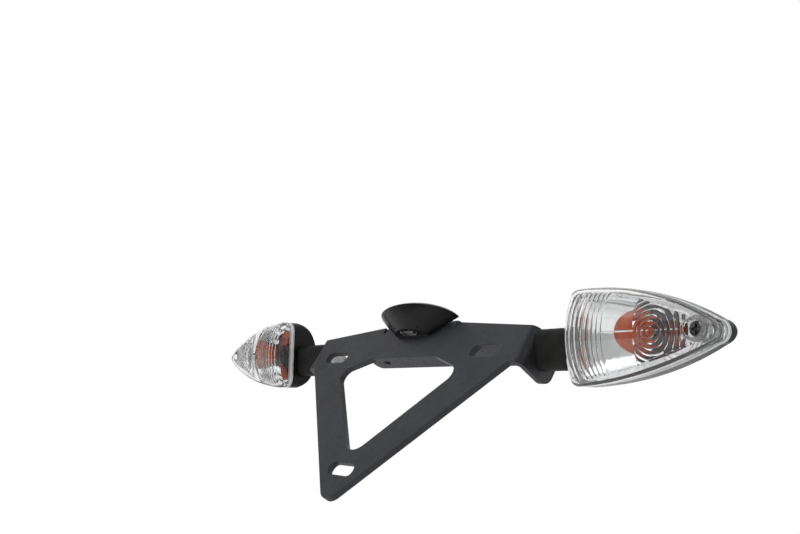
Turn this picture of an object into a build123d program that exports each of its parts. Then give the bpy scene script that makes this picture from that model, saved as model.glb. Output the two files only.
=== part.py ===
"""Tail tidy: a number plate bracket with its plate light and two turn indicators.

Units are millimetres. The part stands as it is fitted: X to the right, Y to the front, Z up.
The origin is the middle of the two flange holes, on the upper face of the flange.
The bracket and the plate light are drawn on three planes that lean with the plate face.
"""
import os
from math import cos, radians, sin, sqrt, tan

from build123d import *

# The sheet and the way it stands
RAKE = 33.0
SHEET = 3.0
BEND_INNER = 1.5

# Mounting flange
FLANGE_SPAN = 152.0
FLANGE_WIDTH = 14.0
FLANGE_CORNER = 5.0
FLANGE_HOLE = 6.5
FLANGE_HOLE_SPACING = 124.0
PLATE_SETBACK = 29.0
NECK_WIDTH = 52.0
NECK_CORNER = 4.0
RELIEF_WIDTH = 2.5
RELIEF_DEPTH = 2.5

# Number plate face, measured down from the flange and out from the middle
SLOT_DROP = 21.5
SLOT_SPACING = 120.0
SLOT_LENGTH = 20.0
SLOT_WIDTH = 6.6
LOWER_SLOT_DROP = 64.8
TIP_DROP = 83.7
TIP_RADIUS = 8.5
TOP_EDGE_DROP = 0.5
WINDOW_DROP = 1.5
WINDOW_TIP_DROP = 58.8
WINDOW_TIP_RADIUS = 10.5
WINDOW_TOP = 50.4
WINDOW_SLOPE = 18.5
WINDOW_SHOULDER_RADIUS = 3.0
WINDOW_CORNER = 5.0

# Ears that carry the indicators
EAR_SPAN = 170.0
EAR_TOP_DROP = 8.5
EAR_HEIGHT = 19.5
EAR_DEPTH = 20.0
EAR_CORNER = 5.0
EAR_HOLE = 6.6
EAR_HOLE_FORWARD = 10.3
EAR_HOLE_DROP = 6.4

# Plate light, with heights measured up and down from the flange
LIGHT_WIDTH = 60.0
LIGHT_DEPTH = 13.5
LIGHT_EQUATOR = -1.0
LIGHT_CROWN = 4.0
LIGHT_SWEEP = 1.1
LIGHT_FOOT_SHARE = 0.42
LIGHT_FOOT_DROP = 10.6
PAD_THICKNESS = 1.0
PAD_INSET = 0.2
PAD_WIDTH = 25.0
PAD_CORNER = 1.5
LIGHT_SCREW_SPACING = 18.0
LIGHT_SCREW_RISE = 2.5
LIGHT_SCREW_HOLE = 3.4
LIGHT_SCREW_SIZE = 3.0
LIGHT_SCREW_HEAD = 5.5
LIGHT_SCREW_HEAD_HEIGHT = 2.0
LIGHT_SCREW_REACH = 5.0
LIGHT_SCREW_SOCKET = 2.0
LIGHT_WASHER_SIZE = 7.0
LIGHT_WASHER_THICKNESS = 0.6
STRIP_LENGTH = 10.0
STRIP_WIDTH = 3.4
STRIP_BACK = 2.6
STRIP_THICKNESS = 3.2
STRIP_SEAT = 2.4
STRIP_LEDGE = 0.6
BOARD_THICKNESS = 1.2
LED_SIZE = 1.4
LED_HEIGHT = 1.0
LED_SPACING = 2.6

# Indicator lens and housing, seen from behind
STEM_LENGTH = 26.0
LENS_LENGTH = 71.0
LENS_HEIGHT = 38.4
LENS_CORNER = 6.0
LENS_TIP_HALF = 4.3
LENS_TIP_LENGTH = 3.6
LENS_TOP_SWELL = 5.4
LENS_FOOT_SWELL = 3.6
LENS_DEPTH = 12.5
LENS_RAMP = 10.0
LENS_WALL = 2.0
HOUSING_DEPTH = 15.6
HOUSING_WALL = 2.4
HOUSING_RISE = 3.1
HULL_MARGIN = 0.9
HULL_OVERRUN = 2.1
TIP_HOLLOW = 0.3
LENS_TAPER = 0.72
HULL_SWEEP = 2.4
DEPTH_SWEEP = 2.2
LENS_EDGE = 2.0
RIM_WALL = 1.4
REBATE = 1.5
SEAL_THICKNESS = 1.0
SEAL_WIDTH = 2.0

# Reflector, bulb and socket
REFLECTOR_THICKNESS = 1.2
REFLECTOR_RIM = 5.0
REFLECTOR_GAP = 2.2
REFLECTOR_INSET = 18.5
REFLECTOR_MARGIN = 4.4
BULB_SHARE = 0.445
BULB_RISE = 1.3
BULB_SIZE = 16.5
BULB_GAP = 1.0
BULB_WALL = 0.8
BULB_STRAIGHT = 0.25
CAP_SIZE = 12.0
CAP_LENGTH = 5.5
HOLDER_SIZE = 14.6
HOLDER_FLOOR = 1.5
HOLDER_GAP = 0.25
HOLDER_STEP = 0.3

# Lens screw
SCREW_INSET = 11.0
SCREW_RISE = 1.0
SCREW_SIZE = 3.0
SCREW_HEAD = 5.6
SCREW_HEAD_HEIGHT = 2.0
SCREW_REACH = 5.0
SCREW_CROSS = 3.9
SCREW_CROSS_WIDTH = 1.0
SCREW_WELL = 6.4
SCREW_WELL_WALL = 1.3
SCREW_WELL_FLOOR = 1.6
SCREW_POST = 7.0

# Stem, its core and the ear bolts
STUD_TO_PARTING = 9.4
STEM_HEIGHT = 17.8
STEM_DEPTH = 12.0
STEM_CORNER = 4.0
STEM_SHIFT = 0.6
PLUG_HEIGHT = 11.0
PLUG_DEPTH = 3.6
PLUG_LIP = 0.9
PLUG_LIP_LENGTH = 2.0
CORE_SIZE = 8.6
CORE_LENGTH = 16.0
BOLT_SIZE = 6.0
BOLT_FLATS = 10.0
BOLT_HEAD_HEIGHT = 4.0
BOLT_REACH = 13.0
WASHER_SIZE = 11.0
WASHER_THICKNESS = 1.2

# Clearances
FIT = 0.3

# Derived sizes
BEND_OUTER = BEND_INNER + SHEET
EAR_FACE = EAR_SPAN / 2
EAR_BEND = EAR_FACE - BEND_OUTER
NECK_HALF = NECK_WIDTH / 2
PLATE_INSIDE = PLATE_SETBACK - SHEET

# Planes that lean with the plate face: ahead is square to the face, up runs along the face
lean_ahead = (0, cos(radians(RAKE)), -sin(radians(RAKE)))
lean_up = (0, sin(radians(RAKE)), cos(radians(RAKE)))
rear_plane = Plane(origin=(0, 0, 0), x_dir=(1, 0, 0), z_dir=(0, -lean_ahead[1], -lean_ahead[2]))
flange_plane = Plane(origin=(0, 0, 0), x_dir=(1, 0, 0), z_dir=lean_up)
side_plane = Plane(origin=(0, 0, 0), x_dir=lean_ahead, z_dir=(1, 0, 0))
ahead_axis = Axis((0, 0, 0), lean_ahead)
up_axis = Axis((0, 0, 0), lean_up)

# Ear hole, in the leaning planes and then in the upright frame
hole_ahead = EAR_HOLE_FORWARD - PLATE_SETBACK
hole_up = -EAR_TOP_DROP - EAR_HOLE_DROP
stud_y = hole_ahead * lean_ahead[1] + hole_up * lean_up[1]
stud_z = hole_ahead * lean_ahead[2] + hole_up * lean_up[2]

# Heights on the plate light: its foot, its screws and the levels it is lofted through
light_foot = -LIGHT_FOOT_DROP
screw_up = light_foot + LIGHT_SCREW_RISE
light_belly = LIGHT_EQUATOR - light_foot
belly_levels = (
    light_foot,
    light_foot + 0.35 * light_belly,
    light_foot + 0.7 * light_belly,
    LIGHT_EQUATOR,
)
crown_levels = (
    LIGHT_EQUATOR,
    LIGHT_EQUATOR + 0.5 * LIGHT_CROWN,
    LIGHT_EQUATOR + 0.8 * LIGHT_CROWN,
    LIGHT_EQUATOR + 0.97 * LIGHT_CROWN,
)

# Inboard end of the indicator on its parting plane
parting_x = EAR_FACE + STEM_LENGTH
parting_y = stud_y - STUD_TO_PARTING
housing_z = stud_z + HOUSING_RISE
parting_plane = Plane(origin=(parting_x, parting_y, housing_z), x_dir=(1, 0, 0), z_dir=(0, -1, 0))
stud_plane = Plane(origin=(0, stud_y, stud_z), x_dir=(0, 1, 0), z_dir=(1, 0, 0))
plug_plane = Plane(
    origin=(parting_x, stud_y - STEM_SHIFT, stud_z + HOUSING_RISE / 2),
    x_dir=(0, 1, 0),
    z_dir=(1, 0, 0),
)

# Along the indicator: the bulb, the lens screw and the size of the hull where it runs out past the tip
bulb_along = BULB_SHARE * LENS_LENGTH
screw_along = LENS_LENGTH - SCREW_INSET
reflector_end = LENS_LENGTH - REFLECTOR_INSET
hull_end = HOUSING_WALL + TIP_HOLLOW
hull_run = 1 + HULL_OVERRUN / LENS_LENGTH


def light_share(level):
    """Share of the plate light's full size at a height: a low dome over a belly drawn in to the foot."""
    if level > LIGHT_EQUATOR:
        return sqrt(1 - ((level - LIGHT_EQUATOR) / LIGHT_CROWN) ** 2)
    drop = (LIGHT_EQUATOR - level) / light_belly
    return 1 - (1 - LIGHT_FOOT_SHARE) * drop ** LIGHT_SWEEP


def lens_outline():
    """Rounded three-cornered outline of the indicator, with its inboard edge on the local Y axis."""
    half = LENS_HEIGHT / 2
    tip = LENS_LENGTH - LENS_TIP_LENGTH
    middle = (half + LENS_TIP_HALF) / 2
    with BuildSketch() as outline:
        with BuildLine():
            Line((0, -half), (0, half))
            ThreePointArc((0, half), (tip / 2, middle + LENS_TOP_SWELL), (tip, LENS_TIP_HALF))
            ThreePointArc((tip, LENS_TIP_HALF), (LENS_LENGTH, 0), (tip, -LENS_TIP_HALF))
            ThreePointArc((tip, -LENS_TIP_HALF), (tip / 2, -middle - LENS_FOOT_SWELL), (0, -half))
        make_face()
        fillet(outline.vertices().group_by(Axis.X)[0], LENS_CORNER)
    return outline.sketch


def inset_outline(inset):
    """The same outline drawn in by a wall."""
    with BuildSketch() as outline:
        add(lens_outline())
        offset(amount=-inset, mode=Mode.REPLACE)
    return outline.sketch


def hull_half(along):
    """Half height of the hull at a share of its length; it stays a margin outside the outline."""
    full = LENS_HEIGHT / 2 + HULL_MARGIN
    return full - (full - hull_end) * (max(along, 0) / hull_run) ** HULL_SWEEP


def housing_depth(along):
    """Depth of the housing, deepest at the inboard end."""
    return HOUSING_DEPTH - (HOUSING_DEPTH - hull_end) * (max(along, 0) / hull_run) ** DEPTH_SWEEP


def lens_depth(along):
    """Depth of the lens, which rises from the inboard end and falls to the tip."""
    rise = 1 - min(max(along, 0) * LENS_LENGTH / LENS_RAMP, 1)
    fall = 1 - LENS_TAPER * max(along, 0) ** DEPTH_SWEEP
    return max(LENS_DEPTH * fall * sqrt(1 - rise ** 2), LENS_EDGE)


def reflector_depth(along):
    """Depth of the reflector bowl, shallow where the stem plug stands behind it."""
    from_bulb = abs(along * LENS_LENGTH - bulb_along) / (bulb_along + REFLECTOR_MARGIN)
    return (room_depth - REFLECTOR_GAP) * (1 - from_bulb ** DEPTH_SWEEP)


# Room inside the housing at the bulb; the holder's edge stands a gap clear of the curved wall
room_half = hull_half(BULB_SHARE) - HOUSING_WALL
room_depth = housing_depth(BULB_SHARE) - HOUSING_WALL
holder_edge = HOLDER_SIZE / 2 + BULB_RISE
holder_seat = room_depth * sqrt(1 - (holder_edge / room_half) ** 2) - HOLDER_GAP
cap_back = holder_seat - HOLDER_FLOOR
cap_front = cap_back - CAP_LENGTH
holder_front = cap_front + HOLDER_STEP

# The bulb fills the room from its cap to a gap inside the lens
bulb_length = cap_front + SEAL_THICKNESS + lens_depth(BULB_SHARE) - LENS_WALL - BULB_GAP
bulb_neck = bulb_length - BULB_SIZE / 2 - BULB_STRAIGHT


def half_hull(shares, depth_at, half_in, depth_in, start, way):
    """Boat-shaped solid lofted through half ellipses; way is +1 to the front and -1 to the rear."""
    with BuildPart() as hull:
        for share in shares:
            half = hull_half(share) - half_in
            depth = depth_at(share) - depth_in
            station = Plane(
                origin=(parting_x + share * LENS_LENGTH, parting_y + start, housing_z),
                x_dir=(0, way, 0),
                z_dir=(way, 0, 0),
            )
            with BuildSketch(station):
                with BuildLine():
                    EllipticalCenterArc((0, 0), depth, half, start_angle=-90, arc_size=180)
                    Line((0, half), (0, -half))
                make_face()
        loft()
    return hull.part


# Plate bracket: one sheet, folded at the neck and at both ears
with BuildPart() as ear:
    with BuildSketch(flange_plane.offset(-EAR_TOP_DROP)):
        with BuildLine():
            bend_y = BEND_OUTER - PLATE_SETBACK
            end_y = EAR_DEPTH - PLATE_SETBACK
            Line((EAR_BEND - SHEET, -PLATE_SETBACK), (EAR_BEND, -PLATE_SETBACK))
            CenterArc((EAR_BEND, bend_y), BEND_OUTER, -90, 90)
            Line((EAR_FACE, bend_y), (EAR_FACE, end_y))
            Line((EAR_FACE, end_y), (EAR_FACE - SHEET, end_y))
            Line((EAR_FACE - SHEET, end_y), (EAR_FACE - SHEET, bend_y))
            CenterArc((EAR_BEND, bend_y), BEND_INNER, 0, -90)
            Line((EAR_BEND, -PLATE_INSIDE), (EAR_BEND - SHEET, -PLATE_INSIDE))
            Line((EAR_BEND - SHEET, -PLATE_INSIDE), (EAR_BEND - SHEET, -PLATE_SETBACK))
        make_face()
    extrude(amount=-EAR_HEIGHT)
    fillet(ear.edges().filter_by(Axis.X).group_by(ahead_axis)[-1], EAR_CORNER)
    with BuildSketch(side_plane.offset(EAR_FACE)):
        with Locations((hole_ahead, hole_up)):
            Circle(EAR_HOLE / 2)
    extrude(amount=-2 * SHEET, mode=Mode.SUBTRACT)

with BuildPart() as plate_bracket:
    ear_foot = EAR_TOP_DROP + EAR_HEIGHT
    foot_half = TIP_DROP - (ear_foot - SLOT_DROP)
    relief_half = NECK_HALF + RELIEF_WIDTH
    relief_foot = BEND_OUTER + RELIEF_DEPTH
    edge_fall = (EAR_TOP_DROP - TOP_EDGE_DROP) / EAR_BEND
    shoulder = TOP_EDGE_DROP + edge_fall * relief_half
    with BuildSketch(rear_plane.offset(PLATE_SETBACK)) as face:
        with BuildLine():
            right_side = Polyline(
                (0, -SLOT_DROP - TIP_DROP),
                (foot_half, -ear_foot),
                (EAR_BEND, -ear_foot),
                (EAR_BEND, -EAR_TOP_DROP),
                (relief_half, -shoulder),
                (relief_half, -relief_foot),
                (0, -relief_foot),
            )
            mirror(right_side, about=Plane.YZ)
        make_face()
        fillet(face.vertices().sort_by(Axis.Y)[0], TIP_RADIUS)
    extrude(amount=-SHEET)
    with BuildSketch(side_plane):
        with BuildLine():
            bend_x = BEND_OUTER - PLATE_SETBACK
            leg = 2 * relief_foot
            Line((-PLATE_SETBACK, -leg), (-PLATE_SETBACK, -BEND_OUTER))
            CenterArc((bend_x, -BEND_OUTER), BEND_OUTER, 180, -90)
            Line((bend_x, 0), (0, 0))
            Line((0, 0), (0, -SHEET))
            Line((0, -SHEET), (bend_x, -SHEET))
            CenterArc((bend_x, -BEND_OUTER), BEND_INNER, 90, 90)
            Line((-PLATE_INSIDE, -BEND_OUTER), (-PLATE_INSIDE, -leg))
            Line((-PLATE_INSIDE, -leg), (-PLATE_SETBACK, -leg))
        make_face()
    extrude(amount=NECK_HALF, both=True)
    with BuildSketch(flange_plane) as flange:
        with BuildLine():
            neck_foot = BEND_OUTER - PLATE_SETBACK
            right_wing = Polyline(
                (0, neck_foot),
                (NECK_HALF, neck_foot),
                (NECK_HALF, -FLANGE_WIDTH / 2),
                (FLANGE_SPAN / 2, -FLANGE_WIDTH / 2),
                (FLANGE_SPAN / 2, FLANGE_WIDTH / 2),
                (0, FLANGE_WIDTH / 2),
            )
            mirror(right_wing, about=Plane.YZ)
        make_face()
        ends = flange.vertices().group_by(Axis.X)
        fillet(ends[0] + ends[-1], FLANGE_CORNER)
        neck = flange.vertices().filter_by_position(Axis.X, -NECK_HALF, NECK_HALF)
        fillet(neck.group_by(Axis.Y)[1], NECK_CORNER)
        with GridLocations(FLANGE_HOLE_SPACING, 0, 2, 1):
            Circle(FLANGE_HOLE / 2, mode=Mode.SUBTRACT)
    extrude(amount=-SHEET)
    add(ear.part)
    mirror(ear.part, about=Plane.YZ)
    with BuildSketch(rear_plane.offset(PLATE_SETBACK)) as window:
        with BuildLine():
            window_half = WINDOW_TIP_DROP - WINDOW_DROP
            window_top = -SLOT_DROP - WINDOW_DROP
            top_half = WINDOW_TOP / 2
            slope = tan(radians(WINDOW_SLOPE))
            corner_half = (window_half + slope * top_half) / (1 + slope)
            corner_up = window_top - slope * (corner_half - top_half)
            Polyline(
                (-top_half, window_top),
                (top_half, window_top),
                (corner_half, corner_up),
                (0, -SLOT_DROP - WINDOW_TIP_DROP),
                (-corner_half, corner_up),
                close=True,
            )
        make_face()
        fillet(window.vertices().sort_by(Axis.Y)[0], WINDOW_TIP_RADIUS)
        fillet(window.vertices().group_by(Axis.Y)[-1], WINDOW_SHOULDER_RADIUS)
        corners = window.vertices().group_by(Axis.X)
        fillet(corners[0] + corners[-1], WINDOW_CORNER)
    extrude(amount=-SHEET, mode=Mode.SUBTRACT)
    with BuildSketch(rear_plane.offset(PLATE_SETBACK)):
        with Locations((0, -SLOT_DROP)):
            with GridLocations(SLOT_SPACING, 0, 2, 1):
                SlotOverall(SLOT_LENGTH, SLOT_WIDTH)
        with Locations((0, -SLOT_DROP - LOWER_SLOT_DROP)):
            SlotOverall(SLOT_LENGTH, SLOT_WIDTH)
    extrude(amount=-SHEET, mode=Mode.SUBTRACT)
    with BuildSketch(rear_plane.offset(PLATE_SETBACK)):
        with Locations((0, screw_up)):
            with GridLocations(LIGHT_SCREW_SPACING, 0, 2, 1):
                Circle(LIGHT_SCREW_HOLE / 2)
    extrude(amount=-SHEET, mode=Mode.SUBTRACT)

# Plate light
light_back = PLATE_SETBACK + PAD_THICKNESS
strip_ahead = -light_back - STRIP_BACK
pad_top = -BEND_OUTER - PAD_INSET
pad_foot = light_foot + PAD_INSET

with BuildPart() as light_pad:
    with BuildSketch(rear_plane.offset(PLATE_SETBACK)):
        with Locations((0, (pad_top + pad_foot) / 2)):
            RectangleRounded(PAD_WIDTH, pad_top - pad_foot, PAD_CORNER)
        with Locations((0, screw_up)):
            with GridLocations(LIGHT_SCREW_SPACING, 0, 2, 1):
                Circle(LIGHT_SCREW_HOLE / 2, mode=Mode.SUBTRACT)
    extrude(amount=PAD_THICKNESS)

with BuildPart() as light_housing:
    for levels in (belly_levels, crown_levels):
        for level in levels:
            half = LIGHT_WIDTH / 2 * light_share(level)
            depth = LIGHT_DEPTH * light_share(level)
            with BuildSketch(flange_plane.offset(level)):
                with BuildLine():
                    EllipticalCenterArc((0, -light_back), half, depth, start_angle=180, arc_size=180)
                    Line((half, -light_back), (-half, -light_back))
                make_face()
        loft()
    with BuildSketch(flange_plane.offset(light_foot)):
        with Locations((0, strip_ahead)):
            Rectangle(STRIP_LENGTH + 2 * FIT, STRIP_WIDTH + 2 * FIT)
    extrude(amount=STRIP_SEAT, mode=Mode.SUBTRACT)
    with BuildSketch(flange_plane.offset(light_foot)):
        with Locations((0, strip_ahead)):
            Rectangle(STRIP_LENGTH - 2 * STRIP_LEDGE, STRIP_WIDTH - 2 * STRIP_LEDGE)
    extrude(amount=LIGHT_EQUATOR - light_foot, mode=Mode.SUBTRACT)
    with BuildSketch(rear_plane.offset(light_back)):
        with Locations((0, screw_up)):
            with GridLocations(LIGHT_SCREW_SPACING, 0, 2, 1):
                Circle(LIGHT_SCREW_SIZE / 2 + FIT / 2)
    extrude(amount=LIGHT_SCREW_REACH + FIT, mode=Mode.SUBTRACT)

with BuildPart() as light_lens:
    with BuildSketch(flange_plane.offset(light_foot + STRIP_SEAT)):
        with Locations((0, strip_ahead)):
            Rectangle(STRIP_LENGTH, STRIP_WIDTH)
    extrude(amount=-STRIP_THICKNESS)
    fillet(light_lens.faces().sort_by(up_axis)[0].edges(), STRIP_LEDGE / 2)

with BuildPart() as light_board:
    with BuildSketch(flange_plane.offset(LIGHT_EQUATOR)):
        with Locations((0, strip_ahead)):
            Rectangle(
                STRIP_LENGTH - 2 * STRIP_LEDGE - 2 * FIT,
                STRIP_WIDTH - 2 * STRIP_LEDGE - 2 * FIT,
            )
    extrude(amount=-BOARD_THICKNESS)

with BuildPart() as light_leds:
    with BuildSketch(flange_plane.offset(LIGHT_EQUATOR - BOARD_THICKNESS)):
        with Locations((0, strip_ahead)):
            with GridLocations(LED_SPACING, 0, 3, 1):
                Rectangle(LED_SIZE, LED_SIZE)
    extrude(amount=-LED_HEIGHT)

with BuildPart() as light_washers:
    with BuildSketch(rear_plane.offset(PLATE_INSIDE)):
        with Locations((0, screw_up)):
            with GridLocations(LIGHT_SCREW_SPACING, 0, 2, 1):
                Circle(LIGHT_WASHER_SIZE / 2)
                Circle(LIGHT_SCREW_HOLE / 2, mode=Mode.SUBTRACT)
    extrude(amount=-LIGHT_WASHER_THICKNESS)

with BuildPart() as light_screws:
    seat = PLATE_INSIDE - LIGHT_WASHER_THICKNESS
    with BuildSketch(rear_plane.offset(seat)):
        with Locations((0, screw_up)):
            with GridLocations(LIGHT_SCREW_SPACING, 0, 2, 1):
                Circle(LIGHT_SCREW_HEAD / 2)
    extrude(amount=-LIGHT_SCREW_HEAD_HEIGHT)
    fillet(light_screws.edges().group_by(ahead_axis)[-1], LIGHT_SCREW_HEAD_HEIGHT / 2)
    with BuildSketch(rear_plane.offset(seat - LIGHT_SCREW_HEAD_HEIGHT)):
        with Locations((0, screw_up)):
            with GridLocations(LIGHT_SCREW_SPACING, 0, 2, 1):
                RegularPolygon(LIGHT_SCREW_SOCKET / 2, 6, major_radius=False)
    extrude(amount=LIGHT_SCREW_HEAD_HEIGHT / 2, mode=Mode.SUBTRACT)
    with BuildSketch(rear_plane.offset(seat)):
        with Locations((0, screw_up)):
            with GridLocations(LIGHT_SCREW_SPACING, 0, 2, 1):
                Circle(LIGHT_SCREW_SIZE / 2)
    extrude(amount=light_back + LIGHT_SCREW_REACH - seat)

# Right indicator: housing
housing_shares = (-0.02, 0.15, 0.35, 0.55, 0.75, 0.9, hull_run)

with BuildPart() as housing_cavity:
    add(half_hull(housing_shares, housing_depth, HOUSING_WALL, HOUSING_WALL, 0, 1))
    with BuildSketch(parting_plane):
        add(inset_outline(HOUSING_WALL))
    extrude(amount=-HOUSING_DEPTH, mode=Mode.INTERSECT)
    with BuildSketch(parting_plane.offset(-holder_seat)):
        with Locations((bulb_along, BULB_RISE)):
            Circle(HOLDER_SIZE / 2)
    extrude(amount=-HOUSING_DEPTH, mode=Mode.SUBTRACT)
    with BuildSketch(parting_plane):
        with Locations((screw_along, SCREW_RISE)):
            Circle(SCREW_POST / 2)
    extrude(amount=-HOUSING_DEPTH, mode=Mode.SUBTRACT)

with BuildPart() as right_housing:
    add(half_hull(housing_shares, housing_depth, 0, 0, 0, 1))
    with BuildSketch(parting_plane):
        add(lens_outline())
    extrude(amount=-HOUSING_DEPTH, mode=Mode.INTERSECT)
    add(housing_cavity.part, mode=Mode.SUBTRACT)
    with BuildSketch(parting_plane):
        add(inset_outline(RIM_WALL))
        with Locations((screw_along, SCREW_RISE)):
            Circle(SCREW_POST / 2, mode=Mode.SUBTRACT)
    extrude(amount=-REBATE, mode=Mode.SUBTRACT)
    with BuildSketch(parting_plane):
        with Locations((screw_along, SCREW_RISE)):
            Circle(SCREW_SIZE / 2 + FIT / 2)
    extrude(amount=-SCREW_REACH - FIT, mode=Mode.SUBTRACT)
    with BuildSketch(plug_plane):
        Rectangle(PLUG_DEPTH + 2 * FIT, PLUG_HEIGHT + 2 * FIT)
    extrude(amount=HOUSING_WALL + FIT, mode=Mode.SUBTRACT)

# Right indicator: reflector
reflector_shares = (0.03, 0.15, 0.3, 0.46, 0.6, 0.78)
reflector_front = REBATE - REFLECTOR_THICKNESS


def bowl(inset, depth_in):
    """Solid that fills the reflector bowl, to the given wall."""
    with BuildPart() as filling:
        add(half_hull(reflector_shares, reflector_depth, inset, depth_in, reflector_front, 1))
        with BuildSketch(parting_plane.offset(-reflector_front)) as mouth:
            add(inset_outline(inset))
            with Locations((reflector_end + REFLECTOR_RIM - inset, 0)):
                Rectangle(LENS_LENGTH, LENS_HEIGHT, align=(Align.MIN, Align.CENTER), mode=Mode.SUBTRACT)
        extrude(amount=-HOUSING_DEPTH, mode=Mode.INTERSECT)
    return filling.part


with BuildPart() as right_reflector:
    with BuildSketch(parting_plane.offset(-reflector_front)):
        add(inset_outline(RIM_WALL + FIT))
        with Locations((screw_along, SCREW_RISE)):
            Circle(SCREW_POST / 2 + FIT, mode=Mode.SUBTRACT)
    extrude(amount=-REFLECTOR_THICKNESS)
    add(bowl(REFLECTOR_RIM - REFLECTOR_THICKNESS, 0))
    add(bowl(REFLECTOR_RIM, REFLECTOR_THICKNESS), mode=Mode.SUBTRACT)
    with BuildSketch(parting_plane.offset(-reflector_front)):
        with Locations((bulb_along, BULB_RISE)):
            Circle(HOLDER_SIZE / 2 + FIT)
    extrude(amount=-HOUSING_DEPTH, mode=Mode.SUBTRACT)

# Right indicator: bulb and socket
bulb_plane = Plane(
    origin=(parting_x + bulb_along, parting_y, housing_z + BULB_RISE),
    x_dir=(1, 0, 0),
    z_dir=(0, 0, 1),
)
bulb_axis = Axis(bulb_plane.origin, (0, 1, 0))

with BuildPart() as right_bulb_holder:
    with BuildSketch(parting_plane.offset(-holder_seat)):
        with Locations((bulb_along, BULB_RISE)):
            Circle(HOLDER_SIZE / 2)
    extrude(amount=holder_seat - holder_front)
    with BuildSketch(parting_plane.offset(-cap_back)):
        with Locations((bulb_along, BULB_RISE)):
            Circle(CAP_SIZE / 2 + FIT)
    extrude(amount=cap_back - holder_front, mode=Mode.SUBTRACT)

with BuildPart() as right_bulb_cap:
    with BuildSketch(parting_plane.offset(-cap_back)):
        with Locations((bulb_along, BULB_RISE)):
            Circle(CAP_SIZE / 2)
    extrude(amount=CAP_LENGTH)

with BuildPart() as right_bulb_glass:
    outer = BULB_SIZE / 2
    inner = outer - BULB_WALL
    neck_outer = CAP_SIZE / 2
    neck_inner = neck_outer - BULB_WALL
    neck_y = cap_front - bulb_neck
    round_y = neck_y - BULB_STRAIGHT
    with BuildSketch(bulb_plane):
        with BuildLine():
            Line((neck_outer, cap_front), (outer, neck_y))
            Line((outer, neck_y), (outer, round_y))
            CenterArc((0, round_y), outer, 0, -90)
            Line((0, round_y - outer), (0, round_y - inner))
            CenterArc((0, round_y), inner, -90, 90)
            Line((inner, round_y), (inner, neck_y))
            Line((inner, neck_y), (neck_inner, cap_front))
            Line((neck_inner, cap_front), (neck_outer, cap_front))
        make_face()
    revolve(axis=bulb_axis)

# Right indicator: seal, lens and lens screw
with BuildPart() as right_lens_seal:
    with BuildSketch(parting_plane):
        add(lens_outline())
        add(inset_outline(SEAL_WIDTH), mode=Mode.SUBTRACT)
    extrude(amount=SEAL_THICKNESS)

lens_shares = (0.0, 0.04, 0.1, 0.2, 0.35, 0.5, 0.65, 0.8, 0.9, 0.97, hull_run)
lens_plane = parting_plane.offset(SEAL_THICKNESS)

with BuildPart() as lens_hollow:
    add(half_hull(lens_shares[1:], lens_depth, LENS_WALL, LENS_WALL, -SEAL_THICKNESS, -1))
    with BuildSketch(lens_plane):
        add(inset_outline(LENS_WALL))
    extrude(amount=LENS_DEPTH, mode=Mode.INTERSECT)
    with BuildSketch(lens_plane):
        with Locations((screw_along, SCREW_RISE)):
            Circle(SCREW_WELL / 2 + SCREW_WELL_WALL)
    extrude(amount=LENS_DEPTH, mode=Mode.SUBTRACT)

with BuildPart() as right_lens:
    add(half_hull(lens_shares, lens_depth, 0, 0, -SEAL_THICKNESS, -1))
    with BuildSketch(lens_plane):
        add(lens_outline())
    extrude(amount=LENS_DEPTH, mode=Mode.INTERSECT)
    add(lens_hollow.part, mode=Mode.SUBTRACT)
    with BuildSketch(lens_plane.offset(SCREW_WELL_FLOOR)):
        with Locations((screw_along, SCREW_RISE)):
            Circle(SCREW_WELL / 2)
    extrude(amount=LENS_DEPTH, mode=Mode.SUBTRACT)
    with BuildSketch(lens_plane):
        with Locations((screw_along, SCREW_RISE)):
            Circle(SCREW_SIZE / 2 + FIT)
    extrude(amount=LENS_DEPTH, mode=Mode.SUBTRACT)

with BuildPart() as lens_screws:
    with BuildSketch(lens_plane.offset(SCREW_WELL_FLOOR)):
        with Locations((screw_along, SCREW_RISE)):
            Circle(SCREW_HEAD / 2)
    extrude(amount=SCREW_HEAD_HEIGHT)
    with BuildSketch(lens_plane.offset(SCREW_WELL_FLOOR + SCREW_HEAD_HEIGHT)):
        with Locations((screw_along, SCREW_RISE)):
            Rectangle(SCREW_CROSS, SCREW_CROSS_WIDTH)
            Rectangle(SCREW_CROSS_WIDTH, SCREW_CROSS)
    extrude(amount=-SCREW_HEAD_HEIGHT / 2, mode=Mode.SUBTRACT)
    with BuildSketch(lens_plane.offset(SCREW_WELL_FLOOR)):
        with Locations((screw_along, SCREW_RISE)):
            Circle(SCREW_SIZE / 2)
    extrude(amount=-SCREW_WELL_FLOOR - SEAL_THICKNESS - SCREW_REACH)
    mirror(about=Plane.YZ)

# Right indicator: stem, core, bolt and washer
with BuildPart() as right_stem:
    with BuildSketch(stud_plane.offset(EAR_FACE)):
        with Locations((-STEM_SHIFT, 0)):
            RectangleRounded(STEM_DEPTH, STEM_HEIGHT, STEM_CORNER)
    extrude(amount=STEM_LENGTH)
    with BuildSketch(plug_plane):
        Rectangle(PLUG_DEPTH, PLUG_HEIGHT)
    extrude(amount=HOUSING_WALL)
    with BuildSketch(plug_plane.offset(HOUSING_WALL)):
        Rectangle(PLUG_DEPTH + 2 * PLUG_LIP, PLUG_HEIGHT + 2 * PLUG_LIP)
    extrude(amount=PLUG_LIP_LENGTH)
    with BuildSketch(stud_plane.offset(EAR_FACE)):
        Circle(CORE_SIZE / 2 + FIT / 2)
    extrude(amount=CORE_LENGTH, mode=Mode.SUBTRACT)

with BuildPart() as right_stem_core:
    with BuildSketch(stud_plane.offset(EAR_FACE)):
        Circle(CORE_SIZE / 2)
        Circle(BOLT_SIZE / 2 + FIT / 2, mode=Mode.SUBTRACT)
    extrude(amount=CORE_LENGTH)

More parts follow.
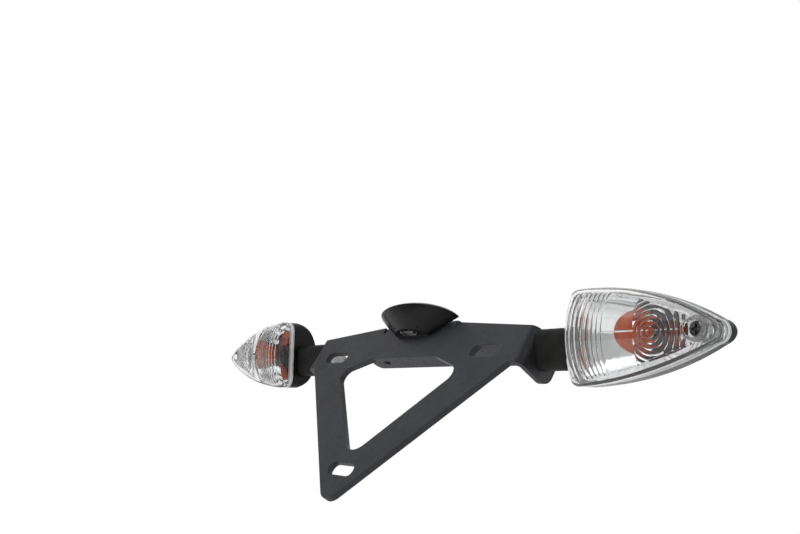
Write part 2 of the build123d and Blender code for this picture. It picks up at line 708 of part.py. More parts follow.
ear_inside = EAR_FACE - SHEET

with BuildPart() as ear_washers:
    with BuildSketch(stud_plane.offset(ear_inside)):
        Circle(WASHER_SIZE / 2)
        Circle(EAR_HOLE / 2, mode=Mode.SUBTRACT)
    extrude(amount=-WASHER_THICKNESS)
    mirror(about=Plane.YZ)

with BuildPart() as ear_bolts:
    with BuildSketch(stud_plane.offset(ear_inside - WASHER_THICKNESS)):
        RegularPolygon(BOLT_FLATS / 2, 6, major_radius=False)
    extrude(amount=-BOLT_HEAD_HEIGHT)
    with BuildSketch(stud_plane.offset(ear_inside - WASHER_THICKNESS)):
        Circle(BOLT_SIZE / 2)
    extrude(amount=WASHER_THICKNESS + SHEET + BOLT_REACH)
    mirror(about=Plane.YZ)

# Left indicator: the same pieces on the other side of the middle plane
with BuildPart() as left_housing:
    mirror(right_housing.part, about=Plane.YZ)

with BuildPart() as left_reflector:
    mirror(right_reflector.part, about=Plane.YZ)

with BuildPart() as left_bulb_holder:
    mirror(right_bulb_holder.part, about=Plane.YZ)

with BuildPart() as left_bulb_cap:
    mirror(right_bulb_cap.part, about=Plane.YZ)

with BuildPart() as left_bulb_glass:
    mirror(right_bulb_glass.part, about=Plane.YZ)

with BuildPart() as left_lens_seal:
    mirror(right_lens_seal.part, about=Plane.YZ)

with BuildPart() as left_lens:
    mirror(right_lens.part, about=Plane.YZ)

with BuildPart() as left_stem:
    mirror(right_stem.part, about=Plane.YZ)

with BuildPart() as left_stem_core:
    mirror(right_stem_core.part, about=Plane.YZ)

# Hand each piece over as its own file
os.makedirs("parts", exist_ok=True)

plate_bracket.part.label = "plate_bracket"
export_step(plate_bracket.part, "parts/plate_bracket.step")

light_pad.part.label = "light_pad"
export_step(light_pad.part, "parts/light_pad.step")

light_housing.part.label = "light_housing"
export_step(light_housing.part, "parts/light_housing.step")

light_lens.part.label = "light_lens"
export_step(light_lens.part, "parts/light_lens.step")

light_board.part.label = "light_board"
export_step(light_board.part, "parts/light_board.step")

light_leds.part.label = "light_leds"
export_step(light_leds.part, "parts/light_leds.step")

light_washers.part.label = "light_washers"
export_step(light_washers.part, "parts/light_washers.step")

light_screws.part.label = "light_screws"
export_step(light_screws.part, "parts/light_screws.step")

right_housing.part.label = "right_housing"
export_step(right_housing.part, "parts/right_housing.step")

right_reflector.part.label = "right_reflector"
export_step(right_reflector.part, "parts/right_reflector.step")

right_bulb_holder.part.label = "right_bulb_holder"
export_step(right_bulb_holder.part, "parts/right_bulb_holder.step")

right_bulb_cap.part.label = "right_bulb_cap"
export_step(right_bulb_cap.part, "parts/right_bulb_cap.step")

right_bulb_glass.part.label = "right_bulb_glass"
export_step(right_bulb_glass.part, "parts/right_bulb_glass.step")

right_lens_seal.part.label = "right_lens_seal"
export_step(right_lens_seal.part, "parts/right_lens_seal.step")

right_lens.part.label = "right_lens"
export_step(right_lens.part, "parts/right_lens.step")

right_stem.part.label = "right_stem"
export_step(right_stem.part, "parts/right_stem.step")

right_stem_core.part.label = "right_stem_core"
export_step(right_stem_core.part, "parts/right_stem_core.step")

left_housing.part.label = "left_housing"
export_step(left_housing.part, "parts/left_housing.step")

left_reflector.part.label = "left_reflector"
export_step(left_reflector.part, "parts/left_reflector.step")

left_bulb_holder.part.label = "left_bulb_holder"
export_step(left_bulb_holder.part, "parts/left_bulb_holder.step")

left_bulb_cap.part.label = "left_bulb_cap"
export_step(left_bulb_cap.part, "parts/left_bulb_cap.step")

left_bulb_glass.part.label = "left_bulb_glass"
export_step(left_bulb_glass.part, "parts/left_bulb_glass.step")

left_lens_seal.part.label = "left_lens_seal"
export_step(left_lens_seal.part, "parts/left_lens_seal.step")

left_lens.part.label = "left_lens"
export_step(left_lens.part, "parts/left_lens.step")

left_stem.part.label = "left_stem"
export_step(left_stem.part, "parts/left_stem.step")

left_stem_core.part.label = "left_stem_core"
export_step(left_stem_core.part, "parts/left_stem_core.step")

lens_screws.part.label = "lens_screws"
export_step(lens_screws.part, "parts/lens_screws.step")

ear_bolts.part.label = "ear_bolts"
export_step(ear_bolts.part, "parts/ear_bolts.step")

ear_washers.part.label = "ear_washers"
export_step(ear_washers.part, "parts/ear_washers.step")
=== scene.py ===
"""Looks of the tail tidy: materials, moulded lens relief, studio light and camera around the CAD frame.

Everything is in metres in the CAD model's own frame: X to the right, Y to the front, Z up.
"""

import math

import bmesh
import bpy
from mathutils import Euler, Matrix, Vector
from mathutils.bvhtree import BVHTree
from mathutils.geometry import delaunay_2d_cdt


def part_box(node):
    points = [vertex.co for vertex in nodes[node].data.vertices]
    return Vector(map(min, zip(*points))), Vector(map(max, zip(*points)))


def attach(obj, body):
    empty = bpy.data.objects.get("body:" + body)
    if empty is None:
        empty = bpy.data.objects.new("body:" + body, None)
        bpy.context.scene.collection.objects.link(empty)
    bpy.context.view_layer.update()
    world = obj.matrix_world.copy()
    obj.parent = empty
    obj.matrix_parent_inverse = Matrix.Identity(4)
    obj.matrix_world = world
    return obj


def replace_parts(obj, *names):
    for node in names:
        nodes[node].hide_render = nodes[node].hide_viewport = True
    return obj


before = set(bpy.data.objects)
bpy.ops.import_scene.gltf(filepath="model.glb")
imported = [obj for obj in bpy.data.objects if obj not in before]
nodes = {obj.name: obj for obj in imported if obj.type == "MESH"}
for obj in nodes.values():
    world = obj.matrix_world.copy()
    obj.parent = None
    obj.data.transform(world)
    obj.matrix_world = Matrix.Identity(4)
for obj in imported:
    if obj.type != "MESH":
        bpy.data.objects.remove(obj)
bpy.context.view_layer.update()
MM = 0.001
SIDES = ("right", "left")

# Camera, placed as the photograph was taken
CAMERA_PLACE = Vector((369.2, -316.05, -25.7)) * MM
CAMERA_TURN = (98.259, -1.081, 52.98)
CAMERA_LENS = 42.035

# Studio
FLOOR_LEVEL = -0.42
FLOOR_REACH = 12.0
FLOOR_FADE = (0.5, 1.4)
KEY_LAMP = {"place": (-1.0, -1.7, 2.0), "target": (0, -0.03, 0), "size": (2.4, 1.8), "power": 14.0}
FILL_LAMP = {"place": (1.9, -0.8, 1.0), "target": (0.1, -0.03, 0), "size": (1.6, 1.6), "power": 5.0}
WORLD_LEVEL = 0.62

# The room behind the camera, as gloss and as glass show it: its level, and the two edges, measured
# along the way to the backdrop, between which it runs out to white
BACKDROP_SIDE = (-0.25, 0.95, -0.19)
ROOM_LEVEL = 0.2
ROOM_EDGES = (-0.45, 0.5)
GLASS_LEVEL = 0.45
GLASS_EDGES = (-0.85, -0.35)

# Edge of each indicator lens: depths from its seat at which it starts to be pale, and is pale
EDGE_FROST = (1.2 * MM, 0.8 * MM)

# Relief moulded into the inner face of each indicator lens
HOLLOW_LEAST = 1.5 * MM
OPTIC_SINK = 0.3 * MM
OPTIC_SKIN = 0.15 * MM
OPTIC_BORDER = 2.2 * MM
BOSS_MARGIN = 0.4 * MM
RING_CENTRE = (154.9 * MM, 1.1 * MM)
RING_PITCH = 1.9 * MM
RING_DEPTH = 0.42 * MM
RING_START = 147.4 * MM
FLUTE_PITCH = 2.1 * MM
FLUTE_DEPTH = 0.24 * MM
FLUTE_END = 134.0 * MM
RIDGE_LEVEL = 1.85 * MM
RIDGE_HALF = 0.3 * MM
RIDGE_HEIGHT = 0.45 * MM
LENS_CREASE = 28

# Points that carry the relief
PANE_STEP = 1.2 * MM
PANE_MARGIN = 1.0 * MM
STEP_HALF = 0.05 * MM
STEP_SPACING = 0.4 * MM
RING_MARGIN = 0.2 * MM
LINE_SPACING = 0.5 * MM
FLUTE_STEPS = 8
RING_STEPS = 6
RING_LEAST = 8
BORDER_POINTS = 360
BOSS_POINTS = 64
TRIANGLES_INSIDE = 1
SAME_POINT = 1e-7
WELD_DISTANCE = 1e-6

# Hex bolts through the ears, laid along X
BOLT_SIDES = 48
BOLT_FLATS = 10.0 * MM
BOLT_HEAD = 4.0 * MM
BOLT_CROWN = 0.94 * BOLT_FLATS / 2
BOLT_DISH = 0.12 * MM
BOLT_DISH_SHARES = (0.3, 0.62, 1.0)
BOLT_CHAMFER = 0.42
BOLT_CHAMFER_DROPS = (0.08 * MM, 0.9 * MM, 0.16 * MM)
BOLT_FACE = 0.95 * BOLT_FLATS / 2
BOLT_FACE_HEIGHT = 0.35 * MM
BOLT_SIZE = 6.0 * MM
BOLT_PLAIN = 1.5 * MM
BOLT_PITCH = 1.0 * MM
BOLT_THREAD = 0.6 * MM
THREAD_STEPS = 8
THREAD_ENDS = (0.2 * MM, 0.1 * MM)
BOLT_POINT = 0.8 * MM
BOLT_CREASE = 24
WASHER_THICKNESS = 1.2 * MM


class Finish:
    """A procedural material: a Principled shader, and texture nodes placed in object space."""

    def __init__(self, name, **sockets):
        self.material = bpy.data.materials.new(name)
        self.material.use_nodes = True
        self.tree = self.material.node_tree
        self.shader = self.tree.nodes["Principled BSDF"]
        self.place = self.tree.nodes.new("ShaderNodeTexCoord").outputs["Object"]
        self.normal = None
        for socket, value in sockets.items():
            self.shader.inputs[socket.replace("_", " ")].default_value = value

    def add(self, kind, **settings):
        """A new node of the given kind, with its settings."""
        node = self.tree.nodes.new(kind)
        for key, value in settings.items():
            setattr(node, key, value)
        return node

    def link(self, output, target):
        """Joins an output to the socket that it feeds."""
        self.tree.links.new(output, target)

    def stretched(self, stretch):
        """Object coordinates drawn out along an axis, for brushed and drawn surfaces."""
        mapping = self.add("ShaderNodeMapping")
        mapping.inputs["Scale"].default_value = stretch
        self.link(self.place, mapping.inputs["Vector"])
        return mapping.outputs["Vector"]

    def noise(self, size, detail=2.0, rough=0.5, stretch=None):
        """Noise with features of about the given size in metres."""
        texture = self.add("ShaderNodeTexNoise")
        texture.inputs["Scale"].default_value = 1 / size
        texture.inputs["Detail"].default_value = detail
        texture.inputs["Roughness"].default_value = rough
        self.link(self.stretched(stretch) if stretch else self.place, texture.inputs["Vector"])
        return texture.outputs["Fac"]

    def cells(self, size, feature="F1"):
        """Voronoi cells of about the given size in metres."""
        texture = self.add("ShaderNodeTexVoronoi", feature=feature)
        texture.inputs["Scale"].default_value = 1 / size
        self.link(self.place, texture.inputs["Vector"])
        return texture.outputs["Distance"]

    def colour(self, factor, dark, light, low=0.35, high=0.65):
        """Base colour that runs from dark to light with the factor."""
        ramp = self.add("ShaderNodeValToRGB")
        ramp.color_ramp.elements[0].position = low
        ramp.color_ramp.elements[0].color = (*dark, 1)
        ramp.color_ramp.elements[1].position = high
        ramp.color_ramp.elements[1].color = (*light, 1)
        self.link(factor, ramp.inputs["Fac"])
        self.link(ramp.outputs["Color"], self.shader.inputs["Base Color"])

    def vary(self, socket, factor, least, most, low=0.3, high=0.7):
        """A number socket that runs from least to most with the factor."""
        spread = self.add("ShaderNodeMapRange")
        spread.inputs["From Min"].default_value = low
        spread.inputs["From Max"].default_value = high
        spread.inputs["To Min"].default_value = least
        spread.inputs["To Max"].default_value = most
        self.link(factor, spread.inputs["Value"])
        self.link(spread.outputs["Result"], self.shader.inputs[socket])

    def rounded(self, radius):
        """Edges that catch the light as if they were broken by the given radius."""
        bevel = self.add("ShaderNodeBevel", samples=6)
        bevel.inputs["Radius"].default_value = radius
        self.normal = bevel.outputs["Normal"]
        self.link(self.normal, self.shader.inputs["Normal"])

    def relief(self, height, depth, strength=1.0):
        """Fine surface relief, laid over the relief that is there already."""
        bump = self.add("ShaderNodeBump")
        bump.inputs["Distance"].default_value = depth
        bump.inputs["Strength"].default_value = strength
        self.link(height, bump.inputs["Height"])
        if self.normal:
            self.link(self.normal, bump.inputs["Normal"])
        self.normal = bump.outputs["Normal"]
        self.link(self.normal, self.shader.inputs["Normal"])


def powder_coat():
    """Satin black powder coat with its orange peel and slightly thinner, greyer patches."""
    finish = Finish("powder_coat", Specular_IOR_Level=0.45)
    finish.colour(finish.noise(14 * MM, 4), (0.0165, 0.0172, 0.0205), (0.0225, 0.0245, 0.0325))
    finish.vary("Roughness", finish.noise(2.2 * MM, 3), 0.40, 0.52)
    finish.rounded(0.4 * MM)
    finish.relief(finish.noise(0.9 * MM, 2), 0.035 * MM)
    return finish.material


def gloss_shell():
    """Glossy black moulded plastic with a faint flow pattern in its gloss."""
    finish = Finish("gloss_shell", Specular_IOR_Level=0.18)
    finish.colour(finish.noise(9 * MM, 3), (0.0045, 0.0045, 0.0045), (0.008, 0.008, 0.008))
    finish.vary("Roughness", finish.noise(3.5 * MM, 4, 0.6, (1, 0.3, 1)), 0.20, 0.32)
    finish.rounded(0.3 * MM)
    finish.relief(finish.noise(1.1 * MM, 2), 0.006 * MM)
    return finish.material


def stem_rubber():
    """Matt black rubber with moulding grain and a little bloom."""
    finish = Finish("stem_rubber", Specular_IOR_Level=0.2)
    finish.colour(finish.noise(6 * MM, 5), (0.009, 0.009, 0.0085), (0.017, 0.017, 0.016))
    finish.vary("Roughness", finish.noise(1.5 * MM, 3), 0.52, 0.70)
    finish.rounded(0.8 * MM)
    finish.relief(finish.noise(0.35 * MM, 3, 0.6), 0.03 * MM)
    return finish.material


def silicone_seal():
    """Milky silicone strip."""
    finish = Finish("silicone_seal", Subsurface_Weight=0.4, Subsurface_Scale=0.5 * MM)
    finish.colour(finish.noise(2 * MM, 3), (0.46, 0.47, 0.47), (0.60, 0.61, 0.61))
    finish.vary("Roughness", finish.noise(0.8 * MM, 3), 0.45, 0.62)
    finish.relief(finish.noise(0.6 * MM, 2), 0.03 * MM)
    return finish.material


def pad_rubber():
    """Black rubber sheet with a cloth-printed surface."""
    finish = Finish("pad_rubber", Roughness=0.75)
    finish.colour(finish.noise(3 * MM, 3), (0.014, 0.014, 0.014), (0.026, 0.026, 0.026))
    finish.relief(finish.noise(0.5 * MM, 2), 0.05 * MM)
    return finish.material


def zinc_plate():
    """Bright zinc plating with a pale blue and straw tint."""
    finish = Finish("zinc_plate", Metallic=1.0)
    finish.colour(finish.noise(2.5 * MM, 4), (0.55, 0.57, 0.62), (0.72, 0.70, 0.64))
    finish.vary("Roughness", finish.noise(0.8 * MM, 4, 0.6, (1, 6, 1)), 0.24, 0.42)
    finish.rounded(0.25 * MM)
    finish.relief(finish.noise(0.4 * MM, 3, 0.6, (1, 5, 1)), 0.012 * MM)
    return finish.material


def dark_steel():
    """Screw metal coloured dark grey, with turning marks."""
    finish = Finish("dark_steel", Metallic=1.0)
    finish.colour(finish.noise(1.2 * MM, 3), (0.10, 0.10, 0.105), (0.19, 0.19, 0.19))
    finish.vary("Roughness", finish.noise(0.4 * MM, 3), 0.20, 0.36)
    finish.rounded(0.15 * MM)
    return finish.material


def chrome():
    """Vacuum-plated reflector: bright metal with the faint ripple of the plastic under it."""
    finish = Finish("chrome", Metallic=1.0)
    finish.colour(finish.noise(7 * MM, 3), (0.83, 0.84, 0.86), (0.92, 0.92, 0.92))
    finish.vary("Roughness", finish.noise(1.6 * MM, 3), 0.05, 0.12)
    finish.relief(finish.noise(2.4 * MM, 2), 0.05 * MM)
    return finish.material


def socket_nylon():
    """Grey nylon bulb holder."""
    finish = Finish("socket_nylon")
    finish.colour(finish.noise(2 * MM, 3), (0.060, 0.060, 0.062), (0.085, 0.085, 0.088))
    finish.vary("Roughness", finish.noise(0.7 * MM, 2), 0.42, 0.58)
    finish.rounded(0.3 * MM)
    return finish.material


def bulb_cap():
    """Nickel-plated brass cap."""
    finish = Finish("bulb_cap", Metallic=1.0)
    finish.colour(finish.noise(3 * MM, 3), (0.62, 0.52, 0.34), (0.74, 0.68, 0.55))
    finish.vary("Roughness", finish.noise(0.6 * MM, 3), 0.22, 0.38)
    return finish.material


def amber_glass():
    """Amber-dipped bulb glass, deeper in colour where the coat ran thick."""
    finish = Finish("amber_glass", Transmission_Weight=0.15, IOR=1.5, Specular_IOR_Level=0.3)
    finish.colour(finish.noise(5 * MM, 3), (0.80, 0.085, 0.002), (0.92, 0.145, 0.004))
    finish.vary("Roughness", finish.noise(1.2 * MM, 2), 0.10, 0.22)
    return finish.material


def clear_lens():
    """Clear acrylic with a trace of flow ripple and haze."""
    finish = Finish("clear_lens", Transmission_Weight=1.0, IOR=1.49)
    finish.colour(finish.noise(12 * MM, 2), (0.965, 0.975, 0.975), (0.985, 0.99, 0.985))
    finish.vary("Roughness", finish.noise(4 * MM, 3), 0.0, 0.035)
    finish.relief(finish.noise(6 * MM, 2), 0.03 * MM)
    return finish.material


def edged_lens():
    """Clear acrylic with its glued edge ground pale, measured forward along the part."""
    finish = Finish("edged_lens", IOR=1.49)
    finish.colour(finish.noise(12 * MM, 2), (0.93, 0.94, 0.94), (0.97, 0.975, 0.97))
    forward = finish.add("ShaderNodeSeparateXYZ")
    finish.link(finish.place, forward.inputs["Vector"])
    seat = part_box("right_lens")[1].y
    clear, pale = [seat - depth for depth in EDGE_FROST]
    finish.vary("Transmission Weight", forward.outputs["Y"], 1.0, 0.25, clear, pale)
    finish.vary("Roughness", forward.outputs["Y"], 0.01, 0.45, clear, pale)
    finish.relief(finish.noise(6 * MM, 2), 0.03 * MM)
    return finish.material


def clear_window():
    """Frosted window of the plate light."""
    finish = Finish("clear_window", Transmission_Weight=1.0, IOR=1.49)
    finish.colour(finish.noise(4 * MM, 2), (0.93, 0.94, 0.94), (0.97, 0.975, 0.97))
    finish.vary("Roughness", finish.noise(0.6 * MM, 2), 0.30, 0.42)
    finish.relief(finish.noise(0.8 * MM, 2), 0.02 * MM)
    return finish.material


def circuit_board():
    """Green solder mask with paler copper areas under it."""
    finish = Finish("circuit_board", Roughness=0.35)
    finish.colour(finish.cells(1.6 * MM), (0.012, 0.070, 0.030), (0.030, 0.130, 0.055), 0.45, 0.5)
    finish.relief(finish.cells(1.6 * MM), 0.02 * MM)
    return finish.material


def led_chip():
    """White chip body with yellow phosphor."""
    finish = Finish("led_chip", Roughness=0.4)
    finish.colour(finish.noise(0.9 * MM, 1), (0.80, 0.62, 0.16), (0.85, 0.82, 0.70))
    return finish.material


def dress(materials):
    """Gives each CAD node its finish."""
    for name, material in materials.items():
        data = nodes[name].data
        data.materials.clear()
        data.materials.append(material)


def smooth(mesh, sharp_above):
    """Smooth shading that keeps edges sharp above an angle in degrees."""
    mesh.polygons.foreach_set("use_smooth", [True] * len(mesh.polygons))
    mesh.set_sharp_from_angle(angle=math.radians(sharp_above))


def piece(name, mesh, material):
    """Links a mesh as a piece of the object that rides on the part's one body."""
    mesh.materials.append(material)
    obj = bpy.data.objects.new(name, mesh)
    bpy.context.scene.collection.objects.link(obj)
    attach(obj, "root")
    return obj


class LensInside:
    """The hollow of the right lens, measured on the CAD mesh."""

    def __init__(self, node):
        mesh = nodes[node].data
        self.tree = BVHTree.FromPolygons([v.co for v in mesh.vertices], [p.vertices for p in mesh.polygons])
        self.low, self.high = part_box(node)

    def wall(self, x, z):
        """Y of the lens's inner face behind a point, or None over the rim and the screw boss."""
        outside = self.high.y + 1 * MM
        hit = self.tree.ray_cast(Vector((x, outside, z)), Vector((0, -1, 0)))[0]
        if hit is None or self.high.y - hit.y < HOLLOW_LEAST:
            return None
        return hit.y

    def edge(self, angle, reach=90 * MM, step=0.2 * MM):
        """How far the hollow reaches from the ring centre at an angle."""
        radius = reach
        while self.wall(*polar(RING_CENTRE, radius, angle)) is None:
            radius -= step
        return radius

    def boss(self, screw, step=0.1 * MM):
        """Centre of the screw boss, and the radius at which the wall shows beside it."""
        low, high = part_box(screw)
        centre = Vector((high.x - (high.z - low.z) / 2, (low.z + high.z) / 2))
        way = Vector(RING_CENTRE) - centre
        radii = spaced(0.0, way.length, step)
        clear = [r for r in radii if self.wall(*(centre + way.normalized() * r)) is not None]
        return centre, clear[0]


def round_angles(count):
    """Angles evenly spaced round a full turn."""
    return [2 * math.pi * i / count for i in range(count)]


def polar(centre, radius, angle):
    """Point at a distance and an angle from a centre."""
    return centre[0] + radius * math.cos(angle), centre[1] + radius * math.sin(angle)


def optic_height(x, z):
    """Height of the moulded relief: flutes inboard, then a clear pane and rings crossed by a low ridge."""
    if x < FLUTE_END:
        return FLUTE_DEPTH * abs(math.sin(math.pi * (FLUTE_END - x) / FLUTE_PITCH))
    ridge = RIDGE_HEIGHT * max(0.0, 1 - abs(z - RIDGE_LEVEL) / RIDGE_HALF)
    if x < RING_START:
        return ridge
    radius = math.hypot(x - RING_CENTRE[0], z - RING_CENTRE[1])
    return max(ridge, RING_DEPTH * abs(math.sin(math.pi * radius / RING_PITCH)))


def spaced(first, last, step):
    """Numbers from first to last at about the given step."""
    count = max(1, round((last - first) / step))
    return [first + (last - first) * i / count for i in range(count + 1)]


def optic_points(low, high):
    """Points that follow the flutes, the ridge and the rings, so that their creases stay crisp."""
    levels = spaced(low.z, high.z, PANE_STEP)
    flutes = math.ceil((FLUTE_END - low.x) / FLUTE_PITCH) * FLUTE_PITCH
    fluted = spaced(FLUTE_END - flutes, FLUTE_END, FLUTE_PITCH / FLUTE_STEPS)
    points = [(x, z) for x in fluted for z in levels]
    pane = spaced(FLUTE_END + PANE_MARGIN, RING_START - PANE_MARGIN, PANE_STEP)
    points += [(x, z) for x in pane for z in levels]
    step = spaced(low.z, high.z, STEP_SPACING)
    points += [(RING_START + side * STEP_HALF, z) for side in (-1, 1) for z in step]
    ridge = spaced(FLUTE_END + RIDGE_HALF, high.x, LINE_SPACING)
    points += [(x, RIDGE_LEVEL + row * RIDGE_HALF) for row in (-1, 0, 1) for x in ridge]
    for radius in spaced(RING_PITCH / RING_STEPS, high.x - low.x, RING_PITCH / RING_STEPS):
        count = max(RING_LEAST, int(2 * math.pi * radius / LINE_SPACING))
        turn = [polar(RING_CENTRE, radius, angle) for angle in round_angles(count)]
        points += [p for p in turn if p[0] > RING_START + RING_MARGIN]
    return points


def loop(first, count):
    """Edges that join a run of points in a closed loop."""
    return [(first + i, first + (i + 1) % count) for i in range(count)]


def optic_plate():
    """Relief plate, sunk into the wall of the right lens, as a closed mesh."""
    inside = LensInside("right_lens")
    boss, clear = inside.boss("lens_screws")
    clear += BOSS_MARGIN
    border = [polar(RING_CENTRE, inside.edge(a) - OPTIC_BORDER, a) for a in round_angles(BORDER_POINTS)]
    hole = [polar(boss, clear, angle) for angle in round_angles(BOSS_POINTS)]
    relief = [p for p in optic_points(inside.low, inside.high) if (Vector(p) - boss).length > clear]
    flat = [Vector(p) for p in border + hole + relief]
    loops = loop(0, BORDER_POINTS) + loop(BORDER_POINTS, BOSS_POINTS)
    outline = list(range(BORDER_POINTS))
    plan, _, faces, _, _, _ = delaunay_2d_cdt(flat, loops, [outline], TRIANGLES_INSIDE, SAME_POINT)
    bm = bmesh.new()
    partner = {}
    rear = []
    for p in plan:
        wall = inside.wall(p.x, p.y)
        if wall is None:
            rear.append(None)
            continue
        vertex = bm.verts.new((p.x, wall - OPTIC_SINK, p.y))
        partner[vertex] = bm.verts.new((p.x, wall + OPTIC_SKIN + optic_height(p.x, p.y), p.y))
        rear.append(vertex)
    for face in faces:
        corners = [rear[i] for i in face]
        middle = sum((plan[i] for i in face), Vector((0, 0))) / len(face)
        if None not in corners and (middle - boss).length > clear:
            bm.faces.new(corners)
            bm.faces.new([partner[v] for v in reversed(corners)])
    for edge in [e for e in bm.edges if e.is_boundary]:
        a, b = edge.verts
        if a in partner and b in partner:
            bm.faces.new([a, b, partner[b], partner[a]])
    bmesh.ops.delete(bm, geom=[v for v in bm.verts if not v.link_faces], context="VERTS")
    bmesh.ops.recalc_face_normals(bm, faces=bm.faces)
    return finished(bm, "optic_plate")


def finished(bm, name):
    """The mesh that a bmesh holds."""
    mesh = bpy.data.meshes.new(name)
    bm.to_mesh(mesh)
    bm.free()
    return mesh


def welded(node):
    """Copy of a CAD node's mesh with its split corners joined."""
    source = nodes[node].data
    bm = bmesh.new()
    corners = [bm.verts.new(v.co) for v in source.vertices]
    for polygon in source.polygons:
        bm.faces.new([corners[i] for i in polygon.vertices])
    bmesh.ops.remove_doubles(bm, verts=bm.verts, dist=WELD_DISTANCE)
    return finished(bm, node)


def union(first, second, name):
    """Two closed meshes as one."""
    base = bpy.data.objects.new(name, first)
    other = bpy.data.objects.new(name, second)
    for obj in (base, other):
        bpy.context.scene.collection.objects.link(obj)
    join = base.modifiers.new("union", "BOOLEAN")
    join.operation = "UNION"
    join.solver = "MANIFOLD"
    join.object = other
    mesh = bpy.data.meshes.new_from_object(base.evaluated_get(bpy.context.evaluated_depsgraph_get()))
    for obj in (base, other):
        bpy.data.objects.remove(obj)
    mesh.name = name
    mesh.materials.clear()
    return mesh


def moulded_lens():
    """The right lens with its moulded relief."""
    mesh = union(welded("right_lens"), optic_plate(), "right_lens_moulded")
    smooth(mesh, LENS_CREASE)
    return mesh


def hex_radius(angle, flats):
    """Distance from the axis to a hexagon's side at an angle."""
    return flats / 2 / math.cos((angle + math.pi / 6) % (math.pi / 3) - math.pi / 6)


def bolt_rows(angles, length):
    """Rings of a hex bolt along its axis: dished, chamfered head, washer face, thread and pointed end."""
    hexagon = [hex_radius(angle, BOLT_FLATS) for angle in angles]
    shank = BOLT_SIZE / 2
    end = BOLT_HEAD + length

    def ring(along, radius):
        """Round ring at a distance along the axis."""
        return along, [radius] * len(angles)

    rows = [ring(drop, share * BOLT_CROWN) for drop, share in zip((BOLT_DISH, 0.0, 0.0), BOLT_DISH_SHARES)]
    for drop in spaced(*BOLT_CHAMFER_DROPS):
        cone = BOLT_CROWN + drop / BOLT_CHAMFER
        rows.append((drop, [min(cone, side) for side in hexagon]))
    rows.append((BOLT_HEAD - BOLT_FACE_HEIGHT, hexagon))
    rows.append(ring(BOLT_HEAD - BOLT_FACE_HEIGHT, BOLT_FACE))
    rows.append(ring(BOLT_HEAD, BOLT_FACE))
    rows.append(ring(BOLT_HEAD, shank))
    rows.append(ring(BOLT_HEAD + BOLT_PLAIN, shank))
    first = BOLT_HEAD + BOLT_PLAIN + THREAD_ENDS[0]
    for along in spaced(first, end - THREAD_ENDS[1], BOLT_PITCH / THREAD_STEPS):
        taper = min(1.0, (end - along) / BOLT_POINT)
        phases = [(along / BOLT_PITCH - angle / (2 * math.pi)) % 1 for angle in angles]
        rows.append((along, [shank - BOLT_THREAD * (1 - taper * (1 - abs(2 * p - 1))) for p in phases]))
    return rows


def ear_bolt_pair():
    """Both ear bolts, head inboard, along the axis of the CAD bolts."""
    low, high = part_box("ear_bolts")
    y = (low.y + high.y) / 2
    z = (low.z + high.z) / 2
    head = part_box("ear_washers")[1].x - WASHER_THICKNESS - BOLT_HEAD
    angles = round_angles(BOLT_SIDES)
    rows = bolt_rows(angles, high.x - head - BOLT_HEAD)
    bm = bmesh.new()
    for side in (1, -1):
        rings = []
        for along, radii in rows:
            rings.append([
                bm.verts.new((side * (head + along), y + r * math.sin(a), z + r * math.cos(a)))
                for a, r in zip(angles, radii)
            ])
        bm.faces.new(rings[0])
        bm.faces.new(rings[-1])
        for near, far in zip(rings, rings[1:]):
            for i, j in loop(0, BOLT_SIDES):
                bm.faces.new([near[i], near[j], far[j], far[i]])
    bmesh.ops.recalc_face_normals(bm, faces=bm.faces)
    mesh = finished(bm, "ear_bolt_pair")
    smooth(mesh, BOLT_CREASE)
    return mesh


def mirrored(mesh, name):
    """The same mesh on the other side of the middle plane."""
    bm = bmesh.new()
    bm.from_mesh(mesh)
    for vertex in bm.verts:
        vertex.co.x = -vertex.co.x
    bmesh.ops.reverse_faces(bm, faces=bm.faces)
    other = finished(bm, name)
    smooth(other, LENS_CREASE)
    return other


def paint_floor():
    """Pale floor with the object's shadow, whose far part is white to the camera, gloss and glass only."""
    finish = Finish("floor_paint", Roughness=0.9)
    finish.colour(finish.noise(0.4, 3), (0.84, 0.84, 0.84), (0.88, 0.88, 0.88))
    distance = finish.add("ShaderNodeVectorMath", operation="LENGTH")
    finish.link(finish.place, distance.inputs[0])
    fade = finish.add("ShaderNodeMapRange")
    fade.inputs["From Min"].default_value, fade.inputs["From Max"].default_value = FLOOR_FADE
    finish.link(distance.outputs["Value"], fade.inputs["Value"])
    seen = finish.add("ShaderNodeMapRange")
    seen.inputs["To Max"].default_value = 0.0
    finish.link(finish.add("ShaderNodeLightPath").outputs["Diffuse Depth"], seen.inputs["Value"])
    finish.link(fade.outputs["Result"], seen.inputs["To Min"])
    white = finish.add("ShaderNodeEmission")
    mix = finish.add("ShaderNodeMixShader")
    finish.link(seen.outputs["Result"], mix.inputs["Fac"])
    finish.link(finish.shader.outputs["BSDF"], mix.inputs[1])
    finish.link(white.outputs["Emission"], mix.inputs[2])
    finish.link(mix.outputs["Shader"], finish.tree.nodes["Material Output"].inputs["Surface"])
    return finish.material


def floor():
    """Plain floor far enough below the part for a soft shadow."""
    bm = bmesh.new()
    bmesh.ops.create_grid(bm, x_segments=1, y_segments=1, size=FLOOR_REACH)
    mesh = finished(bm, "floor")
    mesh.materials.append(paint_floor())
    obj = bpy.data.objects.new("floor", mesh)
    obj.location.z = FLOOR_LEVEL
    bpy.context.scene.collection.objects.link(obj)


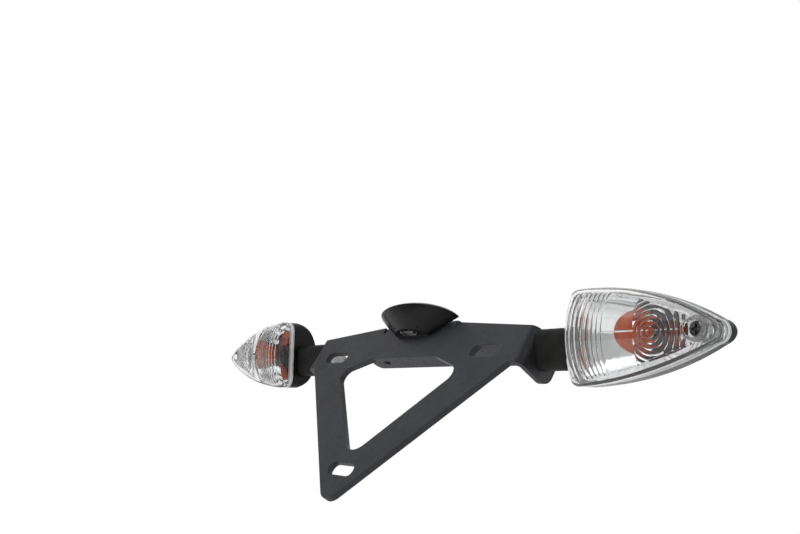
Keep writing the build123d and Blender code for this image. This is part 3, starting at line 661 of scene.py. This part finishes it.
def studio_world():
    """White backdrop for the camera, gloss and glass, and a darker room behind the camera."""
    world = bpy.data.worlds.new("studio")
    world.use_nodes = True
    tree = world.node_tree
    path = tree.nodes.new("ShaderNodeLightPath")

    def blend(seen, otherwise, then):
        """Level that changes from one value to another with a factor."""
        level = tree.nodes.new("ShaderNodeMapRange")
        tree.links.new(seen, level.inputs["Value"])
        for value, socket in ((otherwise, "To Min"), (then, "To Max")):
            if isinstance(value, float):
                level.inputs[socket].default_value = value
            else:
                tree.links.new(value, level.inputs[socket])
        return level.outputs["Result"]

    towards = tree.nodes.new("ShaderNodeVectorMath")
    towards.operation = "DOT_PRODUCT"
    towards.inputs[1].default_value = BACKDROP_SIDE
    tree.links.new(tree.nodes.new("ShaderNodeTexCoord").outputs["Generated"], towards.inputs[0])

    def room(darkest, start, end):
        """White backdrop that runs out into a room of the given level behind the camera."""
        fade = blend(towards.outputs["Value"], darkest, 1.0)
        fade.node.inputs["From Min"].default_value = start
        fade.node.inputs["From Max"].default_value = end
        return fade

    level = blend(path.outputs["Is Glossy Ray"], WORLD_LEVEL, room(ROOM_LEVEL, *ROOM_EDGES))
    level = blend(path.outputs["Is Transmission Ray"], level, room(GLASS_LEVEL, *GLASS_EDGES))
    level = blend(path.outputs["Diffuse Depth"], level, WORLD_LEVEL)
    level = blend(path.outputs["Is Camera Ray"], level, 1.0)
    tree.links.new(level, tree.nodes["Background"].inputs["Strength"])
    tree.nodes["Background"].inputs["Color"].default_value = (1, 1, 1, 1)
    bpy.context.scene.world = world


def lamp(name, place, target, size, power):
    """Soft box that faces a point on the part."""
    light = bpy.data.lights.new(name, "AREA")
    light.shape = "RECTANGLE"
    light.size, light.size_y = size
    light.energy = power
    obj = bpy.data.objects.new(name, light)
    obj.location = place
    obj.rotation_euler = (Vector(target) - Vector(place)).to_track_quat("-Z", "Y").to_euler()
    bpy.context.scene.collection.objects.link(obj)


# Materials on the CAD nodes
shell = gloss_shell()
zinc = zinc_plate()
screw = dark_steel()
by_piece = {
    "housing": shell,
    "reflector": chrome(),
    "bulb_holder": socket_nylon(),
    "bulb_cap": bulb_cap(),
    "bulb_glass": amber_glass(),
    "lens_seal": silicone_seal(),
    "lens": clear_lens(),
    "stem": stem_rubber(),
    "stem_core": zinc,
}
dress({f"{side}_{part}": material for side in SIDES for part, material in by_piece.items()})
dress({
    "plate_bracket": powder_coat(),
    "light_pad": pad_rubber(),
    "light_housing": shell,
    "light_lens": clear_window(),
    "light_board": circuit_board(),
    "light_leds": led_chip(),
    "light_washers": zinc,
    "light_screws": screw,
    "lens_screws": screw,
    "ear_bolts": zinc,
    "ear_washers": zinc,
})

# Moulded lenses, and bolts with chamfers and threads
edged = edged_lens()
moulded = moulded_lens()
opposite = mirrored(moulded, "left_lens_moulded")
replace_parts(piece("left_lens_moulded", opposite, edged), "left_lens")
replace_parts(piece("right_lens_moulded", moulded, edged), "right_lens")
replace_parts(piece("ear_bolt_pair", ear_bolt_pair(), zinc), "ear_bolts")

# Stage, lamps and camera
floor()
studio_world()
lamp("key", **KEY_LAMP)
lamp("fill", **FILL_LAMP)

camera = bpy.data.objects.new("camera", bpy.data.cameras.new("camera"))
camera.data.lens = CAMERA_LENS
camera.location = CAMERA_PLACE
camera.rotation_euler = Euler([math.radians(a) for a in CAMERA_TURN])
bpy.context.scene.collection.objects.link(camera)
bpy.context.scene.camera = camera
bpy.context.scene.view_settings.view_transform = "Standard"
